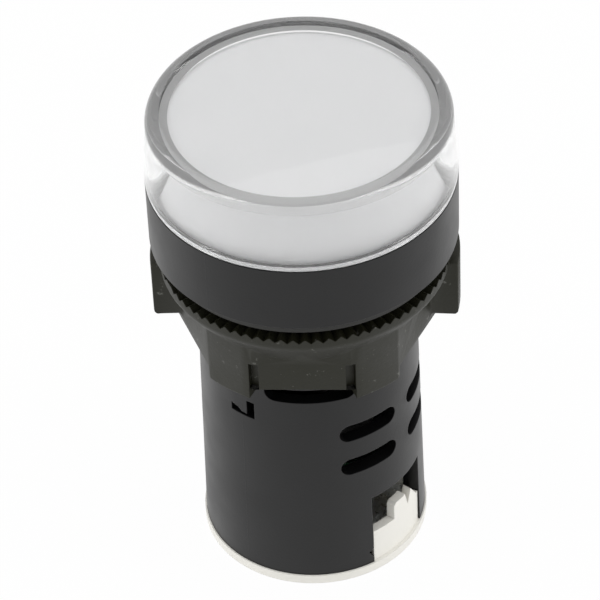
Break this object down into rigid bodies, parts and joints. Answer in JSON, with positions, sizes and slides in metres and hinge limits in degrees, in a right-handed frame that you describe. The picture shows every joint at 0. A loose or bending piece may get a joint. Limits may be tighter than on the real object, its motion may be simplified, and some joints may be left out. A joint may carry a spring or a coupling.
{
  "type": "panel pilot light",
  "caption": "Round panel pilot light with a clear cap over a white diffuser, a black vented tube, a toothed fixing nut and screw terminals in a white base.",
  "frame": {"origin": "middle of the underside of the base, on the axis of the tube", "axes": "+Z along the axis towards the lens, +X and -X out of the two terminal windows"},
  "size_m": [0.0288, 0.0288, 0.0507],
  "materials": {
    "housing_black": "moulded, satin",
    "nut_black": "moulded, satin",
    "seal_rubber": "matt",
    "lens_clear": "polished clear plastic",
    "diffuser_white": "moulded, translucent white",
    "board_white": "solder mask",
    "chip_body": "moulded, with yellow phosphor",
    "board_green": "solder mask",
    "box_black": "moulded case",
    "can_blue": "shrink sleeve",
    "chip_black": "moulded",
    "resistor_tan": "lacquer",
    "resistor_blue": "lacquer",
    "tinned_pin": "tinned",
    "block_white": "moulded, satin",
    "plate_brass": "stamped",
    "zinc_steel": "zinc plated"
  },
  "bodies": {
    "body": {"housing": "housing_black", "lens_cap": "lens_clear", "diffuser": "diffuser_white", "panel_gasket": "seal_rubber", "led_board": "board_white", "led_1": "chip_body", "led_2": "chip_body", "led_3": "chip_body", "led_4": "chip_body", "led_5": "chip_body", "led_6": "chip_body", "driver_board": "board_green", "film_capacitor": "box_black", "smoothing_capacitor": "can_blue", "bridge_rectifier": "chip_black", "bleed_resistor": "resistor_tan", "limiting_resistor": "resistor_blue", "link_pin_1": "tinned_pin", "link_pin_2": "tinned_pin", "terminal_block": "block_white", "terminal_plate_1": "plate_brass", "terminal_plate_2": "plate_brass"},
    "nut": {"fixing_nut": "nut_black"},
    "clamp_1": {"clamp_washer_1": "zinc_steel"},
    "screw_1": {"terminal_screw_1": "zinc_steel"},
    "clamp_2": {"clamp_washer_2": "zinc_steel"},
    "screw_2": {"terminal_screw_2": "zinc_steel"}
  },
  "joints": [
    {"name": "nut_travel", "type": "slide", "parent": "body", "child": "nut", "axis": [0, 0, 1], "range_m": [-0.0065, 0.0007]},
    {"name": "clamp_1_travel", "type": "slide", "parent": "body", "child": "clamp_1", "axis": [0, 0, 1], "range_m": [0, 0.0021]},
    {"name": "screw_1_turn", "type": "hinge", "parent": "clamp_1", "child": "screw_1", "pos_m": [0.0053, 0, 0.0043], "axis": [0, 0, 1], "range_deg": [0, 1513]},
    {"name": "clamp_2_travel", "type": "slide", "parent": "body", "child": "clamp_2", "axis": [0, 0, 1], "range_m": [0, 0.0021]},
    {"name": "screw_2_turn", "type": "hinge", "parent": "clamp_2", "child": "screw_2", "pos_m": [-0.0053, 0, 0.0043], "axis": [0, 0, 1], "range_deg": [0, 1513]}
  ],
  "couplings": [
    {"joint": "screw_1_turn", "follows": "clamp_1_travel", "rad_per_m": 12566},
    {"joint": "screw_2_turn", "follows": "clamp_2_travel", "rad_per_m": 12566}
  ]
}
